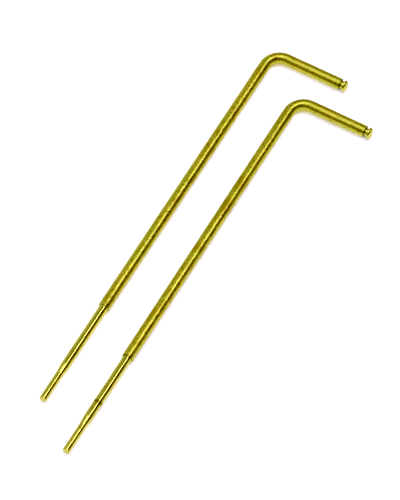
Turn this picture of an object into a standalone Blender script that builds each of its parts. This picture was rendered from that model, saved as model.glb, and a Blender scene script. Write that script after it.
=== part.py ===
"""A matched pair of carburettor metering rods, lying side by side on a surface.

Each rod is one piece of round brass bar.  It is turned straight, with a stepped
metering pin at one end and a grooved button head at the other, and is then bent
through a right angle, so that the head points sideways and can hang in an eye.

Frame: +Y runs along the long legs from the pins to the bends, +X runs along the
short legs to the heads, and +Z is up.  The origin is the bottom centre of the
box round both rods, so the shanks lie on the plane z = 0.
"""

import math

import bmesh
import bpy
from mathutils import Vector

MM = 0.001

# The bar and its bend.
SHANK_DIAMETER = 2.10 * MM
LONG_LEG = 82.0 * MM  # from the corner where the centrelines meet to the tip's end face
SHORT_LEG = 15.2 * MM  # from the same corner to the head's end face
BEND_RADIUS = 3.0 * MM  # of the centreline

# The metering pin, from its free end up to the shoulder.
TIP_DIAMETER = 1.33 * MM
TIP_LENGTH = 5.8 * MM
TAPER_LENGTH = 1.7 * MM
PIN_DIAMETER = 1.63 * MM
PIN_LENGTH = 20.9 * MM  # the whole pin, tip and taper included

# The button head and the groove that the hanger's eye sits in.
HEAD_DIAMETER = SHANK_DIAMETER
HEAD_THICKNESS = 0.68 * MM
GROOVE_WIDTH = 0.60 * MM
NECK_DIAMETER = 1.45 * MM

# Broken edges, measured along and across the bar alike.
TIP_CHAMFER = 0.06 * MM
SHOULDER_CHAMFER = 0.10 * MM
GROOVE_CHAMFER = 0.06 * MM
HEAD_CHAMFER = 0.20 * MM

# How the second rod lies: beside the first one, and further down the surface.
ROD_PITCH = 8.6 * MM
ROD_STAGGER = 6.8 * MM

# Facets.
SIDES = 32
BEND_RINGS = 12
LONGEST_FACET = 8.0 * MM
MERGE_DISTANCE = 0.001 * MM

# Heights up the straight bar, from the tip's end face.
BEND_START = LONG_LEG - BEND_RADIUS
BEND_LENGTH = BEND_RADIUS * math.pi / 2
BEND_END = BEND_START + BEND_LENGTH
BAR_LENGTH = BEND_END + SHORT_LEG - BEND_RADIUS

COLLECTION_NAME = "metering_rod_pair"
BRASS_COLOUR = (0.56, 0.46, 0.09, 1.0)
BRASS_ROUGHNESS = 0.34


def clear_scene():
    """Remove every object that the file opened with."""
    for old in list(bpy.data.objects):
        bpy.data.objects.remove(old, do_unlink=True)


def evenly(start, end, count):
    """Return the heights that cut start..end into count equal steps, without start."""
    return [start + (end - start) * step / count for step in range(1, count + 1)]


def stretch(radius, start, end):
    """Return profile points up a straight stretch, with no facet too long."""
    steps = max(1, math.ceil((end - start) / LONGEST_FACET))
    return [(radius, height) for height in evenly(start, end, steps)]


def pin_profile():
    """Return (radius, height) points up the metering pin, from its end face's centre."""
    tip = TIP_DIAMETER / 2
    pin = PIN_DIAMETER / 2
    taper_end = TIP_LENGTH + TAPER_LENGTH
    points = [(0.0, 0.0), (tip - TIP_CHAMFER, 0.0), (tip, TIP_CHAMFER)]
    points += stretch(tip, TIP_CHAMFER, TIP_LENGTH)
    points += [(pin, taper_end)]
    points += stretch(pin, taper_end, PIN_LENGTH)
    return points


def shank_profile(groove_start):
    """Return points up the shank, from the shoulder through the bend to the groove."""
    shank = SHANK_DIAMETER / 2
    shoulder_top = PIN_LENGTH + SHOULDER_CHAMFER
    groove_edge = groove_start - GROOVE_CHAMFER
    points = [(shank - SHOULDER_CHAMFER, PIN_LENGTH), (shank, shoulder_top)]
    points += stretch(shank, shoulder_top, BEND_START)
    points += [(shank, height) for height in evenly(BEND_START, BEND_END, BEND_RINGS)]
    points += stretch(shank, BEND_END, groove_edge)
    return points


def head_profile(groove_start):
    """Return points up the groove and the button head, to the end face's centre."""
    shank = SHANK_DIAMETER / 2
    neck = NECK_DIAMETER / 2
    head = HEAD_DIAMETER / 2
    head_start = groove_start + GROOVE_WIDTH
    return [
        (shank - GROOVE_CHAMFER, groove_start),
        (neck, groove_start),
        (neck, head_start),
        (head - GROOVE_CHAMFER, head_start),
        (head, head_start + GROOVE_CHAMFER),
        (head, BAR_LENGTH - HEAD_CHAMFER),
        (head - HEAD_CHAMFER, BAR_LENGTH),
        (0.0, BAR_LENGTH),
    ]


def bar_profile():
    """Return the whole bar's half section as (radius, height) points, bottom to top."""
    groove_start = BAR_LENGTH - HEAD_THICKNESS - GROOVE_WIDTH
    return pin_profile() + shank_profile(groove_start) + head_profile(groove_start)


def turn_bar(profile):
    """Turn the half section about +Z and return the straight bar as a mesh."""
    outline = bpy.data.meshes.new("bar_outline")
    points = [(radius, 0.0, height) for radius, height in reversed(profile)]
    edges = [(index, index + 1) for index in range(len(points) - 1)]
    outline.from_pydata(points, edges, [])
    lathe = bpy.data.objects.new("bar_lathe", outline)
    bpy.context.scene.collection.objects.link(lathe)

    screw = lathe.modifiers.new("turn", "SCREW")
    screw.axis = "Z"
    screw.angle = math.tau
    screw.steps = SIDES
    screw.render_steps = SIDES
    screw.use_merge_vertices = True
    screw.merge_threshold = MERGE_DISTANCE

    depsgraph = bpy.context.evaluated_depsgraph_get()
    bar = bpy.data.meshes.new_from_object(lathe.evaluated_get(depsgraph))
    bpy.data.objects.remove(lathe, do_unlink=True)
    bpy.data.meshes.remove(outline)
    return bar


def bent(point):
    """Return where a point of the straight bar goes when the bar is bent.

    The corner of the two centrelines is the origin.  The bar's own x is the side
    that becomes the inside of the bend.
    """
    side, across, height = point
    if height <= BEND_START:
        return Vector((side, height - LONG_LEG, -across))
    if height >= BEND_END:
        return Vector((BEND_RADIUS + height - BEND_END, -side, -across))
    turn = (height - BEND_START) / BEND_RADIUS
    reach = BEND_RADIUS - side
    return Vector((
        BEND_RADIUS - reach * math.cos(turn),
        reach * math.sin(turn) - BEND_RADIUS,
        -across,
    ))


def bend_bar(bar):
    """Bend the straight bar in place, close its end faces and shade it."""
    for vertex in bar.vertices:
        vertex.co = bent(vertex.co)
    work = bmesh.new()
    work.from_mesh(bar)
    flat = math.radians(0.1)
    bmesh.ops.dissolve_limit(work, angle_limit=flat, verts=pole_vertices(work), edges=[])
    work.to_mesh(bar)
    work.free()
    bar.shade_smooth()
    bar.set_sharp_from_angle(angle=math.radians(30.0))


def pole_vertices(work):
    """Return the centre vertex of each end face, where all its triangles meet."""
    return [vertex for vertex in work.verts if len(vertex.link_edges) == SIDES]


def brass(name):
    """Return a satin brass material."""
    material = bpy.data.materials.new(name)
    material.use_nodes = True
    shader = material.node_tree.nodes["Principled BSDF"]
    shader.inputs["Base Color"].default_value = BRASS_COLOUR
    shader.inputs["Metallic"].default_value = 1.0
    shader.inputs["Roughness"].default_value = BRASS_ROUGHNESS
    material.diffuse_color = BRASS_COLOUR
    return material


def first_corner():
    """Return the first rod's corner, with both rods' box centred on the origin."""
    shank = SHANK_DIAMETER / 2
    box_left = -shank
    box_right = ROD_PITCH + SHORT_LEG
    box_far = shank
    box_near = -ROD_STAGGER - LONG_LEG
    centre = Vector(((box_left + box_right) / 2, (box_far + box_near) / 2, -shank))
    return -centre


def add_rod(name, mesh, corner, collection):
    """Place one rod with the corner of its centrelines at the given point."""
    rod = bpy.data.objects.new(name, mesh)
    rod.location = corner
    collection.objects.link(rod)
    return rod


def main():
    clear_scene()
    collection = bpy.data.collections.new(COLLECTION_NAME)
    bpy.context.scene.collection.children.link(collection)

    mesh = turn_bar(bar_profile())
    bend_bar(mesh)
    mesh.name = "metering_rod"
    mesh.materials.append(brass("satin_brass"))

    corner = first_corner()
    beside = corner + Vector((ROD_PITCH, -ROD_STAGGER, 0.0))
    add_rod("left_metering_rod", mesh, corner, collection)
    add_rod("right_metering_rod", mesh, beside, collection)


main()
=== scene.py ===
"""Looks of the metering rod pair: fine turned and bent bars, brass, light and camera.

Each rod is turned straight as a fine grid of rings, given the small faults that a
real one has, and then bent, as the CAD rod is.  A point of the straight bar is
kept with each vertex, so that drawing lines and turning rings follow the bend.
"""

import math

import bpy
import numpy as np
from mathutils import Matrix, Vector, noise


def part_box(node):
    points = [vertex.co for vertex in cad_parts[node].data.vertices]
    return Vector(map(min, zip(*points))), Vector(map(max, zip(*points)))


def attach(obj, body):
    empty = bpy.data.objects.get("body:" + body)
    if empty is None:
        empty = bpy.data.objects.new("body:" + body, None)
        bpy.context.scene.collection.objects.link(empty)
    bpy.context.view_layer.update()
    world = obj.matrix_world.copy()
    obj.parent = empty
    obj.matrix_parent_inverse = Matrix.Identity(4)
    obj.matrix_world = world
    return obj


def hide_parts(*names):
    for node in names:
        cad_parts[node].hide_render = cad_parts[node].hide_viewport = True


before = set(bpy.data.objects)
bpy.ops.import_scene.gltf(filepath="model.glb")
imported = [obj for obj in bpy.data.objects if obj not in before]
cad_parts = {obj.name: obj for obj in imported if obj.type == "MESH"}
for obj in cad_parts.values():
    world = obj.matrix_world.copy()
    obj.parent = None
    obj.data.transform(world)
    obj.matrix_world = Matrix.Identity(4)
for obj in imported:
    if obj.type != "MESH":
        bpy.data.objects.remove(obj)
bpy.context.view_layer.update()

MM = 0.001

# The rod, as in the CAD model.
BEND_RADIUS = 3.0 * MM
TIP_RADIUS = 0.665 * MM
TIP_LENGTH = 5.8 * MM
TAPER_LENGTH = 1.7 * MM
PIN_RADIUS = 0.815 * MM
PIN_LENGTH = 20.9 * MM
NECK_RADIUS = 0.725 * MM
GROOVE_WIDTH = 0.60 * MM
HEAD_THICKNESS = 0.68 * MM

# The fine mesh.
SIDES = 96
RING_GAP = 0.17 * MM
TAPER_GAP = 0.12 * MM
NECK_GAP = 0.10 * MM
FACE_GAP = 0.08 * MM
CENTRE_RING = 0.08 * MM  # radius of the ring round each end face's centre
BEND_RINGS = 40
ARC_RINGS = 6
SHARP_ANGLE = 40.0

# Edges, fillets and the shoulder's rim, which stands up a little and fades into the shank.
EDGE = 0.05 * MM
ROOT_FILLET = 0.03 * MM
GROOVE_FILLET = 0.05 * MM
SHOULDER_DISH = 0.02 * MM
TAPER_MARGIN = 0.15 * MM
ROOT_MARGIN = 0.25 * MM
RIM_TOP = 0.10 * MM
RIM_FADE = 0.18 * MM
GROOVE_LIP = 0.04 * MM
SHANK_FOOT = 0.25 * MM
RAISED_RIM = 0.012 * MM

# Where each rod is discoloured: (height up the straight bar in mm, half width, strength).
STAINS = {
    "left": [(22.6, 1.4, 0.7), (57.8, 1.6, 0.5), (77.0, 2.0, 0.5)],
    "right": [(45.7, 1.5, 0.9), (56.0, 2.2, 0.8), (61.0, 2.6, 0.9), (77.0, 2.2, 0.4)],
}
PIN_MARKS = {
    "left": [(10.4, 0.9, 0.25)],
    "right": [(10.7, 0.55, 1.0)],
}

# Nicks and burrs: (height in mm, angle round the bar in degrees, half length in mm,
# half width in degrees, depth in mm).  0 degrees is the inside of the bend, -90 is up.
FAULTS = {
    "left": [(21.2, -54, 0.34, 16, 0.08), (20.95, -4, 0.16, 16, -0.06), (70.4, -40, 0.5, 9, 0.02)],
    "right": [(21.0, -148, 0.30, 26, 0.09), (21.1, -52, 0.28, 14, 0.07), (20.95, 2, 0.16, 18, -0.05)],
}
# The nick depth at which the painted shade that darkens a nick is darkest.
NICK_DEPTH_FOR_FULL_SHADE = 0.07 * MM
SEEDS = {"left": 11.0, "right": 47.0}

# The button head: its two rim radii, its crown, and how far it stands out past the shank.
HEAD_INNER = 0.10 * MM
HEAD_OUTER = 0.44 * MM
HEAD_CROWN = 0.14 * MM
HEAD_SWELL = 0.03 * MM

# Unevenness: the right pin leans, the shank waves and the bend is flattened.
PIN_LEAN = {"left": 0.0, "right": -0.09}
WAVE_SIZE = 0.9 * MM
WAVE_DEPTH = 0.005 * MM
BEND_FLATTENING = 0.03
FLATTENED_REACH = 1.3 * BEND_RADIUS
CORE_RADIUS = 0.5 * MM  # waves and faults leave what is inside it alone


class Rod:
    """One rod's sizes and place, read from its CAD node's box."""

    def __init__(self, side):
        self.side = side
        self.node = f"{side}_metering_rod"
        self.body = f"{side}_rod"
        low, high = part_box(self.node)
        self.radius = (high.z - low.z) / 2
        self.corner = Vector((low.x + self.radius, high.y - self.radius, low.z + self.radius))
        self.long_leg = self.corner.y - low.y
        self.short_leg = high.x - self.corner.x
        self.bend_start = self.long_leg - BEND_RADIUS
        self.bend_end = self.bend_start + BEND_RADIUS * math.pi / 2
        self.length = self.bend_end + self.short_leg - BEND_RADIUS
        self.head_start = self.length - HEAD_THICKNESS
        self.groove_start = self.head_start - GROOVE_WIDTH
        self.seed = SEEDS[side]
        self.stains = STAINS[side]
        self.marks = PIN_MARKS[side]
        self.faults = FAULTS[side]
        self.pin_lean = PIN_LEAN[side] * MM


# ---------------------------------------------------------------- the turned profile

def steps(start, end, gap):
    """Return numbers from start to end, both included, no more than gap apart."""
    count = max(1, math.ceil(abs(end - start) / gap))
    return [start + (end - start) * step / count for step in range(count + 1)]


def rounded(radius, height, size, start, end):
    """Return points round a quarter circle, between two angles in degrees.

    The circle's centre is (radius, height) and its radius is size.  0 degrees
    points outwards and 90 degrees points up the bar.
    """
    angles = [math.radians(angle) for angle in steps(start, end, 90.0 / ARC_RINGS)]
    return [(radius + size * math.cos(a), height + size * math.sin(a)) for a in angles]


def straight(radius, start, end, gap=RING_GAP):
    """Return points up a straight stretch of the bar."""
    return [(radius, height) for height in steps(start, end, gap)]


def facing(height, start, end):
    """Return points across a face that is square to the bar."""
    return [(radius, height) for radius in steps(start, end, FACE_GAP)]


def pin_profile():
    """Return the metering pin's profile, from near its end face's centre to its root."""
    taper_end = TIP_LENGTH + TAPER_LENGTH
    points = facing(0.0, CENTRE_RING, TIP_RADIUS - EDGE)
    points += rounded(TIP_RADIUS - EDGE, EDGE, EDGE, -90.0, 0.0)
    points += straight(TIP_RADIUS, EDGE, TIP_LENGTH - TAPER_MARGIN)
    taper = steps(TIP_LENGTH, taper_end, TAPER_GAP)
    points += [(taper_radius(height), height) for height in taper]
    points += straight(PIN_RADIUS, taper_end + TAPER_MARGIN, PIN_LENGTH - ROOT_MARGIN)
    return points


def taper_radius(height):
    """Return the pin's radius up its taper, with the ends run in smoothly."""
    share = (height - TIP_LENGTH) / TAPER_LENGTH
    eased = 0.85 * share + 0.15 * share * share * (3 - 2 * share)
    return TIP_RADIUS + (PIN_RADIUS - TIP_RADIUS) * eased


def shoulder_profile(rod):
    """Return the fillet at the pin's root, the shoulder's dished face and its rolled rim."""
    fillet = ROOT_FILLET
    rim = rod.radius + RAISED_RIM
    middle = (PIN_RADIUS + rod.radius) / 2
    points = rounded(PIN_RADIUS + fillet, PIN_LENGTH - fillet, fillet, 180.0, 90.0)
    points += [(middle, PIN_LENGTH + SHOULDER_DISH)]
    points += rounded(rim - EDGE, PIN_LENGTH + EDGE, EDGE, -90.0, 0.0)
    points += [(rim, PIN_LENGTH + RIM_TOP)]
    points += [(rod.radius + RAISED_RIM / 3, PIN_LENGTH + RIM_FADE)]
    return points


def shank_profile(rod):
    """Return the shank, from the shoulder's rim through the bend to the groove."""
    points = straight(rod.radius, PIN_LENGTH + SHANK_FOOT, rod.bend_start)
    bend_gap = (rod.bend_end - rod.bend_start) / BEND_RINGS
    points += straight(rod.radius, rod.bend_start, rod.bend_end, bend_gap)[1:]
    points += straight(rod.radius, rod.bend_end, rod.groove_start - EDGE)[1:]
    points += rounded(rod.radius - EDGE, rod.groove_start - EDGE, EDGE, 0.0, 90.0)[1:]
    return points


def groove_profile(rod):
    """Return the groove: wall, small fillet, neck, fillet and wall."""
    fillet = GROOVE_FILLET
    low = rod.groove_start
    high = rod.head_start
    points = facing(low, rod.radius - 2 * EDGE, NECK_RADIUS + fillet)
    points += rounded(NECK_RADIUS + fillet, low + fillet, fillet, 270.0, 180.0)[1:]
    points += straight(NECK_RADIUS, low + fillet, high - fillet, NECK_GAP)[1:-1]
    points += rounded(NECK_RADIUS + fillet, high - fillet, fillet, 180.0, 90.0)
    points += facing(high, NECK_RADIUS + fillet, rod.radius - HEAD_INNER)[1:-1]
    return points


def head_profile(rod):
    """Return the button head: a well rounded rim, a little swollen, and a crowned end face."""
    inner = HEAD_INNER
    outer = HEAD_OUTER
    widest = rod.radius + HEAD_SWELL
    high = rod.length - HEAD_CROWN
    points = rounded(widest - inner, rod.head_start + inner, inner, -90.0, 0.0)
    points += straight(widest, rod.head_start + inner, high - outer, NECK_GAP)[1:]
    points += rounded(widest - outer, high - outer, outer, 0.0, 70.0)[1:]
    for radius in steps(widest - outer, CENTRE_RING, FACE_GAP)[1:]:
        share = 1.0 - (radius / (widest - outer)) ** 2
        points.append((radius, high + HEAD_CROWN * share))
    return points


def bar_profile(rod):
    """Return the whole profile, bottom to top, as an array of (radius, height)."""
    points = pin_profile()
    points += shoulder_profile(rod)
    points += shank_profile(rod)
    points += groove_profile(rod)
    points += head_profile(rod)
    return np.array(points)


# ------------------------------------------------------------------------- the mesh

def straight_bar(profile):
    """Return the straight bar's points as an array of rings, each with SIDES points."""
    angles = np.arange(SIDES) * math.tau / SIDES
    radius = profile[:, 0][:, None]
    height = profile[:, 1][:, None]
    return np.stack([
        radius * np.cos(angles),
        radius * np.sin(angles),
        np.broadcast_to(height, (len(profile), SIDES)),
    ], axis=-1)


def near(value, centre, half_width):
    """Return 1 at the centre, falling smoothly to 0 half_width away from it."""
    share = np.clip(1.0 - np.abs(value - centre) / half_width, 0.0, 1.0)
    return share * share * (3.0 - 2.0 * share)


def wave(points, rod):
    """Return the shank's slight unevenness, outwards, at each point."""
    offset = Vector((rod.seed, 0.0, 0.0))
    uneven = np.array([noise.noise(Vector(point) / WAVE_SIZE + offset) for point in points])
    shank = (points[:, 2] > PIN_LENGTH) & (points[:, 2] < rod.groove_start)
    return np.where(shank, uneven * WAVE_DEPTH, 0.0)


def fault_depth(points, rod):
    """Return how far the rod's nicks cut in at each point, or its burrs stand out."""
    angle = np.degrees(np.arctan2(points[:, 1], points[:, 0]))
    depth = np.zeros(len(points))
    for height, around, half_length, half_width, deep in rod.faults:
        off = (angle - around + 180.0) % 360.0 - 180.0
        share = near(points[:, 2], height * MM, half_length * MM) * near(off, 0.0, half_width)
        depth += deep * MM * share
    return depth


def weathered(points, rod):
    """Return the straight bar's points with the faults of a real one."""
    radius = np.hypot(points[:, 0], points[:, 1])
    outwards = wave(points, rod) - fault_depth(points, rod)
    share = outwards / np.maximum(radius, CORE_RADIUS)
    growth = 1.0 + np.where(radius > CORE_RADIUS, share, 0.0)
    middle = (rod.bend_start + rod.bend_end) / 2
    flatter = BEND_FLATTENING * near(points[:, 2], middle, FLATTENED_REACH)
    down_pin = np.clip(1.0 - points[:, 2] / PIN_LENGTH, 0.0, 1.0)
    return np.stack([
        points[:, 0] * growth * (1.0 - flatter) + rod.pin_lean * down_pin ** 1.5,
        points[:, 1] * growth * (1.0 + flatter / 3),
        points[:, 2],
    ], axis=1)


def bend(points, rod):
    """Return where the straight bar's points go when the rod is bent and placed."""
    side, across, height = points[:, 0], points[:, 1], points[:, 2]
    turn = np.clip((height - rod.bend_start) / BEND_RADIUS, 0.0, math.pi / 2)
    before = np.minimum(height - rod.bend_start, 0.0)
    after = np.maximum(height - rod.bend_end, 0.0)
    reach = BEND_RADIUS - side
    x = BEND_RADIUS - reach * np.cos(turn) + after
    y = reach * np.sin(turn) - BEND_RADIUS + before
    placed = np.stack([x, y, -across], axis=1) + np.array(rod.corner)
    placed[:, 2] = np.maximum(placed[:, 2], 0.0)
    return placed


def ring_faces(ring_count):
    """Return the faces of a closed bar: quads between rings and a fan at each end."""
    faces = []
    for ring in range(ring_count - 1):
        low = ring * SIDES
        high = low + SIDES
        for place in range(SIDES):
            beside = (place + 1) % SIDES
            faces.append((low + place, low + beside, high + beside, high + place))
    first_centre = ring_count * SIDES
    last_centre = first_centre + 1
    last = (ring_count - 1) * SIDES
    for place in range(SIDES):
        beside = (place + 1) % SIDES
        faces.append((first_centre, beside, place))
        faces.append((last_centre, last + place, last + beside))
    return faces


def keep_attribute(mesh, name, kind, field, values):
    """Keep one value with each vertex of a mesh, for its materials to read."""
    kept = mesh.attributes.new(name, kind, "POINT")
    kept.data.foreach_set(field, values.astype(np.float32).ravel())


def turning_distance(profile):
    """Return how far along the profile each point of the bar is, from the tip's centre."""
    gaps = np.hypot(*np.diff(profile, axis=0).T)
    distance = profile[0, 0] + np.concatenate([[0.0], np.cumsum(gaps)])
    last = distance[-1] + profile[-1, 0]
    return np.concatenate([np.repeat(distance, SIDES), [0.0, last]])


def material_numbers(profile, rod):
    """Return each face's material: 0 on the drawn shank and 1 wherever it was turned."""
    height = profile[:-1, 1]
    drawn = (height > PIN_LENGTH + RIM_TOP) & (height < rod.groove_start - GROOVE_LIP)
    numbers = np.repeat(np.where(drawn, 0, 1), SIDES)
    return np.concatenate([numbers, np.ones(2 * SIDES, int)]).astype(np.int32)


def build_rod(rod):
    """Return the fine rod as an object, in the row frame."""
    profile = bar_profile(rod)
    ends = np.array([[0.0, 0.0, 0.0], [0.0, 0.0, rod.length]])
    bar = np.concatenate([straight_bar(profile).reshape(-1, 3), ends])
    mesh = bpy.data.meshes.new(f"{rod.side}_rod_fine")
    mesh.from_pydata(bend(weathered(bar, rod), rod).tolist(), [], ring_faces(len(profile)))
    keep_attribute(mesh, "bar_place", "FLOAT_VECTOR", "vector", bar / MM)
    keep_attribute(mesh, "turning", "FLOAT", "value", turning_distance(profile) / MM)
    # Each point's nick depth, which the materials turn into painted shade in the nicks.
    keep_attribute(mesh, "nick_shade", "FLOAT", "value", fault_depth(bar, rod) / NICK_DEPTH_FOR_FULL_SHADE)
    mesh.shade_smooth()
    mesh.set_sharp_from_angle(angle=math.radians(SHARP_ANGLE))
    mesh.materials.append(drawn_brass(rod))
    mesh.materials.append(turned_brass(rod))
    mesh.polygons.foreach_set("material_index", material_numbers(profile, rod))
    piece = bpy.data.objects.new(f"{rod.side}_rod_fine", mesh)
    bpy.context.scene.collection.objects.link(piece)
    return piece


# -------------------------------------------------------------------- the materials

TURNED = (0.86, 0.770, 0.170, 1.0)
DRAWN = (0.735, 0.660, 0.108, 1.0)
EDGE_TINT = (0.97, 0.958, 0.825, 1.0)
DRAWN_ROUGHNESS = (0.26, 0.41)
TURNED_ROUGHNESS = (0.070, 0.115)
GREENER = (0.91, 1.015, 1.0)
STAINED = (0.50, 0.36, 0.050, 1.0)
PITTED = (0.28, 0.21, 0.030, 1.0)
# A near black used as painted shade in the nicks, at the pin's root and in both corners of the
# groove, where shade falls.
PAINTED_SHADE = (0.05, 0.035, 0.010, 1.0)
# How far from the groove's walls its painted shade lies.
GROOVE_SHADE = 0.04 * MM
# How far below the shoulder the painted shade at the pin's root lies.
ROOT_SHADE = 0.02 * MM
DRAWN_RELIEF = 0.014 * MM
TURNED_RELIEF = 0.0002 * MM


class Brass:
    """A brass material's nodes, with a short call for each kind that it uses."""

    def __init__(self, name, clean):
        self.clean = clean
        self.material = bpy.data.materials.new(name)
        self.material.use_nodes = True
        self.nodes = self.material.node_tree.nodes
        self.links = self.material.node_tree.links
        self.shader = self.nodes["Principled BSDF"]
        self.shader.inputs["Metallic"].default_value = 1.0
        self.shader.inputs["Specular Tint"].default_value = EDGE_TINT
        self.colour = None
        self.place = self.attribute("bar_place", "Vector")
        self.turning = self.attribute("turning", "Fac")
        # How deep each nick is, for the painted shade that darkens it.
        self.nick_shade = self.ramp(self.attribute("nick_shade", "Fac"), 0.0, 1.0, 0.0, 0.85)
        self.height = self.axis("Z")

    def add(self, kind, inputs, **settings):
        """Add a node, set its properties, and link or set its inputs by name or number."""
        made = self.nodes.new(kind)
        for name, value in settings.items():
            setattr(made, name, value)
        for name, value in inputs.items():
            if isinstance(value, bpy.types.NodeSocket):
                self.links.new(value, made.inputs[name])
            else:
                made.inputs[name].default_value = value
        return made

    def attribute(self, name, output):
        """Return a value that is kept with each vertex."""
        return self.add("ShaderNodeAttribute", {}, attribute_name=name).outputs[output]

    def axis(self, letter):
        """Return one coordinate of the place on the straight bar, in mm."""
        return self.add("ShaderNodeSeparateXYZ", {0: self.place}).outputs[letter]

    def math(self, operation, first, second=0.0):
        """Return the result of one operation on one or two values."""
        return self.add("ShaderNodeMath", {0: first, 1: second}, operation=operation).outputs[0]

    def ramp(self, value, start, end, low=0.0, high=1.0):
        """Return a value that goes smoothly from low to high as another goes start to end."""
        inputs = {"Value": value, "From Min": start, "From Max": end, "To Min": low, "To Max": high}
        return self.add("ShaderNodeMapRange", inputs, interpolation_type="SMOOTHSTEP").outputs[0]

    def grain(self, per_mm, along=1.0, detail=2.0, shift=0.0):
        """Return noise with so many grains to the millimetre, longer up the bar if along < 1."""
        sizes = (per_mm, per_mm, per_mm * along)
        inputs = {0: self.place, 1: sizes, 2: (shift, shift, shift)}
        scaled = self.add("ShaderNodeVectorMath", inputs, operation="MULTIPLY_ADD")
        inputs = {"Vector": scaled.outputs[0], "Scale": 1.0, "Detail": detail}
        return self.add("ShaderNodeTexNoise", inputs).outputs[0]

    def rings(self, per_mm, detail=1.0):
        """Return noise that is the same all round the bar, as turning marks are."""
        inputs = {"W": self.turning, "Scale": per_mm, "Detail": detail}
        return self.add("ShaderNodeTexNoise", inputs, noise_dimensions="1D").outputs[0]

    def band(self, height, half_width, strength):
        """Return strength at one height of the bar in mm, fading to nothing half_width away."""
        off = self.math("ABSOLUTE", self.math("SUBTRACT", self.height, height))
        return self.ramp(off, half_width, 0.0, 0.0, strength)

    def tint(self, share, colour):
        """Turn the colour reached so far towards another one."""
        mix = self.nodes.new("ShaderNodeMix")
        mix.data_type = "RGBA"
        self.links.new(share, mix.inputs["Factor"])
        if self.colour is None:
            mix.inputs[6].default_value = self.clean
        else:
            self.links.new(self.colour, mix.inputs[6])
        mix.inputs[7].default_value = colour
        self.colour = mix.outputs[2]

    def greener(self):
        """Return the clean colour turned a little towards green."""
        return (*(level * change for level, change in zip(self.clean, GREENER)), 1.0)

    def finish(self, roughness, relief, depth):
        """Connect the shader and return the material.  Depth is the relief's, in metres."""
        bump = self.add("ShaderNodeBump", {"Height": relief, "Strength": 1.0, "Distance": depth})
        self.links.new(bump.outputs["Normal"], self.shader.inputs["Normal"])
        self.links.new(self.colour, self.shader.inputs["Base Color"])
        self.links.new(roughness, self.shader.inputs["Roughness"])
        return self.material


def drawn_brass(rod):
    """Return the shank's dull, speckled brass, with fine lines from the drawing die."""
    brass = Brass(f"{rod.side}_drawn_brass", DRAWN)
    speckle = brass.grain(3.0, 0.8, 3.0, rod.seed)
    lines = brass.grain(9.0, 0.07, 2.0, rod.seed + 3.0)
    green = brass.ramp(brass.grain(0.5, 0.7, 3.0, rod.seed + 13.0), 0.40, 0.60)
    stain = brass.ramp(brass.grain(0.7, 0.6, 4.0, rod.seed + 5.0), 0.52, 0.70)
    pits = brass.ramp(brass.grain(2.4, 0.8, 3.0, rod.seed + 9.0), 0.56, 0.70)
    brass.tint(green, brass.greener())
    brass.tint(brass.ramp(speckle, 0.56, 0.36, 0.0, 0.40), PITTED)
    brass.tint(brass.math("MULTIPLY", stain, 0.8), STAINED)
    for height, half_width, strength in rod.stains:
        near_stain = brass.band(height, half_width, strength)
        brass.tint(brass.math("MULTIPLY", near_stain, brass.ramp(speckle, 0.35, 0.6)), STAINED)
    brass.tint(brass.math("MULTIPLY", pits, 0.6), PITTED)
    # Painted shade darkens the nicks.
    brass.tint(brass.nick_shade, PAINTED_SHADE)
    relief = brass.math("ADD", speckle, brass.math("MULTIPLY", lines, 0.35))
    rough = brass.ramp(speckle, 0.3, 0.7, *DRAWN_ROUGHNESS)
    return brass.finish(rough, relief, DRAWN_RELIEF)


def turned_brass(rod):
    """Return the bright brass of the pin, groove and head, with fine turning marks."""
    brass = Brass(f"{rod.side}_turned_brass", TURNED)
    fine = brass.rings(9.0, 2.0)
    broad = brass.rings(1.8)
    green = brass.ramp(brass.grain(0.6, 0.4, 3.0, rod.seed + 17.0), 0.38, 0.62)
    patches = brass.ramp(brass.grain(0.9, 0.6, 3.0, rod.seed + 2.0), 0.52, 0.72)
    brass.tint(green, brass.greener())
    brass.tint(brass.ramp(fine, 0.56, 0.36, 0.0, 0.35), PITTED)
    brass.tint(brass.math("MULTIPLY", patches, 0.35), STAINED)
    for height, half_width, strength in rod.marks:
        brass.tint(brass.band(height, half_width, strength), PITTED)
    # Painted shade in the corner at the pin's root, broken up a little by the patches.
    root_shade = brass.band((PIN_LENGTH - ROOT_SHADE) / MM, 0.10, 0.9)
    brass.tint(brass.math("MULTIPLY", root_shade, brass.ramp(patches, 0.0, 0.3, 0.5, 1.0)), PAINTED_SHADE)
    # Painted shade in both corners of the groove.
    brass.tint(brass.band((rod.groove_start + GROOVE_SHADE) / MM, 0.21, 0.95), PAINTED_SHADE)
    brass.tint(brass.band((rod.head_start - GROOVE_SHADE) / MM, 0.10, 0.7), PAINTED_SHADE)
    # Painted shade darkens the nicks.
    brass.tint(brass.nick_shade, PAINTED_SHADE)
    relief = brass.math("ADD", fine, brass.math("MULTIPLY", broad, 2.5))
    rough = brass.ramp(fine, 0.3, 0.7, *TURNED_ROUGHNESS)
    return brass.finish(rough, relief, TURNED_RELIEF)


# ------------------------------------------------------------------ stage and camera

FLOOR_SIZE = 4.0
FLOOR_ALBEDO = (0.92, 0.92, 0.92, 1.0)
FLOOR_SEEN = (2.0, 2.04, 2.8, 1.0)
FLOOR_GLOW = 0.42
FLOOR_GLOW_SEEN = 0.08
FLOOR_GLOW_COLOUR = (0.97, 0.99, 1.04, 1.0)
ROOM_DARK = (0.105, 0.060, 0.035, 1.0)
ROOM_BRIGHT = (0.47, 0.47, 0.47, 1.0)
ROOM_BRIGHT_AZIMUTH = -100.0
ROOM_FADE = (-0.23, 0.92)
LAMP_DISTANCE = 1.2
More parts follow.
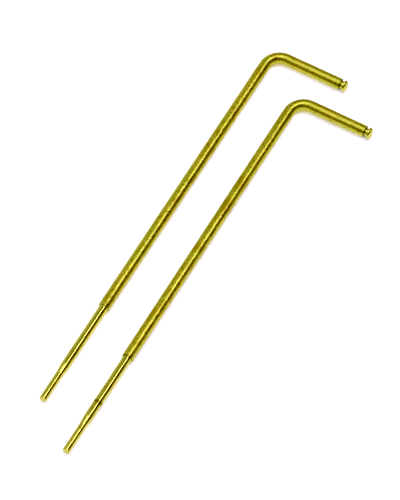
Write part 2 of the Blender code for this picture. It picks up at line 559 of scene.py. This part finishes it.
# (name, azimuth, elevation, width, length, power, axis of the bar whose highlight it makes),
# in degrees, metres and watts.
LAMPS = (
    ("long_leg_lamp", 141.0, 61.0, 0.17, 0.62, 2.05, (0, 1, 0)),
    ("short_leg_lamp", -39.0, 82.5, 1.28, 0.87, 3.4, (1, 0, 0)),
    ("bend_lamp", 144.0, 84.0, 0.22, 0.36, 1.1, (1, 1, 0)),
)
BLACK_LEVEL = (0.010, 0.010, 0.035)
AIM = Vector((-2.82 * MM, 1.65 * MM, 0.0))
CAMERA_AZIMUTH = 29.17
CAMERA_ELEVATION = 58.40
CAMERA_DISTANCE = 0.6804
CAMERA_LENS = 280.0


def direction(azimuth, elevation):
    """Return a unit vector towards a place seen from the origin, in degrees."""
    around = math.radians(azimuth)
    up = math.radians(elevation)
    flat = math.cos(up)
    return Vector((flat * math.sin(around), -flat * math.cos(around), math.sin(up)))


def is_camera_ray(nodes):
    """Return a value that is 1 where the camera looks and 0 in a reflection."""
    return nodes.new("ShaderNodeLightPath").outputs["Is Camera Ray"]


def blend(nodes, links, share, first, second):
    """Return a colour that goes from the first to the second as share goes 0 to 1."""
    mix = nodes.new("ShaderNodeMix")
    mix.data_type = "RGBA"
    mix.inputs["A"].default_value = first
    mix.inputs["B"].default_value = second
    links.new(share, mix.inputs["Factor"])
    return mix.outputs["Result"]


def floor_material():
    """Return a white that looks brighter and glows less to the camera than to the rods.

    The camera sees a nearly white sheet with faint shadows, as an overexposed one is.
    The rods reflect a darker one, with a glow of its own that no real sheet has.
    """
    material = bpy.data.materials.new("floor_white")
    material.use_nodes = True
    nodes = material.node_tree.nodes
    links = material.node_tree.links
    nodes.remove(nodes["Principled BSDF"])
    seen = is_camera_ray(nodes)

    diffuse = nodes.new("ShaderNodeBsdfDiffuse")
    links.new(blend(nodes, links, seen, FLOOR_ALBEDO, FLOOR_SEEN), diffuse.inputs["Color"])
    strength = nodes.new("ShaderNodeMapRange")
    strength.inputs["To Min"].default_value = FLOOR_GLOW
    strength.inputs["To Max"].default_value = FLOOR_GLOW_SEEN
    links.new(seen, strength.inputs["Value"])
    glow = nodes.new("ShaderNodeEmission")
    glow.inputs["Color"].default_value = FLOOR_GLOW_COLOUR
    links.new(strength.outputs["Result"], glow.inputs["Strength"])

    both = nodes.new("ShaderNodeAddShader")
    links.new(diffuse.outputs["BSDF"], both.inputs[0])
    links.new(glow.outputs["Emission"], both.inputs[1])
    links.new(both.outputs["Shader"], nodes["Material Output"].inputs["Surface"])
    return material


def add_floor():
    """Add a plain white floor, which isn't part of the object."""
    bpy.ops.mesh.primitive_plane_add(size=FLOOR_SIZE)
    floor = bpy.context.object
    floor.name = "floor"
    floor.data.materials.append(floor_material())


def room_colour(nodes, links):
    """Return the room's colour, which is bright on the left and fades to dark on the right."""
    place = nodes.new("ShaderNodeTexCoord")
    along = nodes.new("ShaderNodeVectorMath")
    along.operation = "DOT_PRODUCT"
    along.inputs[1].default_value = direction(ROOM_BRIGHT_AZIMUTH, 0.0)
    links.new(place.outputs["Generated"], along.inputs[0])
    share = nodes.new("ShaderNodeMapRange")
    share.interpolation_type = "SMOOTHSTEP"
    share.inputs["From Min"].default_value = ROOM_FADE[0]
    share.inputs["From Max"].default_value = ROOM_FADE[1]
    links.new(along.outputs["Value"], share.inputs["Value"])
    return blend(nodes, links, share.outputs["Result"], ROOM_DARK, ROOM_BRIGHT)


def add_room():
    """Light the rods with the room, and show the camera a plain white one."""
    world = bpy.data.worlds.new("room")
    world.use_nodes = True
    nodes = world.node_tree.nodes
    links = world.node_tree.links
    room = nodes["Background"]
    links.new(room_colour(nodes, links), room.inputs["Color"])
    backdrop = nodes.new("ShaderNodeBackground")
    backdrop.inputs["Color"].default_value = (1, 1, 1, 1)
    mix = nodes.new("ShaderNodeMixShader")
    links.new(is_camera_ray(nodes), mix.inputs["Fac"])
    links.new(room.outputs["Background"], mix.inputs[1])
    links.new(backdrop.outputs["Background"], mix.inputs[2])
    links.new(mix.outputs["Shader"], nodes["World Output"].inputs["Surface"])
    bpy.context.scene.world = world


def add_lamp(name, azimuth, elevation, width, length, power, leg):
    """Hang a soft light over the rods, with its width across one leg's highlight."""
    data = bpy.data.lights.new(name, "AREA")
    data.shape = "RECTANGLE"
    data.size = width
    data.size_y = length
    data.energy = power
    lamp = bpy.data.objects.new(name, data)
    bpy.context.scene.collection.objects.link(lamp)
    back = direction(azimuth, elevation)
    across = Vector(leg).cross(back).normalized()
    turn = Matrix((across, back.cross(across), back)).transposed().to_4x4()
    lamp.matrix_world = Matrix.Translation(AIM + back * LAMP_DISTANCE) @ turn


def add_camera():
    """Add the scene's camera."""
    data = bpy.data.cameras.new("camera")
    data.lens = CAMERA_LENS
    data.clip_start = 0.01
    data.clip_end = 20.0
    camera = bpy.data.objects.new("camera", data)
    bpy.context.scene.collection.objects.link(camera)
    back = direction(CAMERA_AZIMUTH, CAMERA_ELEVATION)
    camera.location = AIM + back * CAMERA_DISTANCE
    camera.rotation_euler = back.to_track_quat("Z", "Y").to_euler()
    bpy.context.scene.camera = camera


def set_tones():
    """Show the picture plainly, with the blacks pulled down a little, and blue the most."""
    view = bpy.context.scene.view_settings
    view.view_transform = "Standard"
    view.use_curve_mapping = True
    view.curve_mapping.black_level = BLACK_LEVEL
    view.curve_mapping.update()


def main():
    for side in ("left", "right"):
        rod = Rod(side)
        piece = build_rod(rod)
        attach(piece, rod.body)
        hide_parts(rod.node)
    add_floor()
    add_room()
    for lamp in LAMPS:
        add_lamp(*lamp)
    add_camera()
    set_tones()


main()
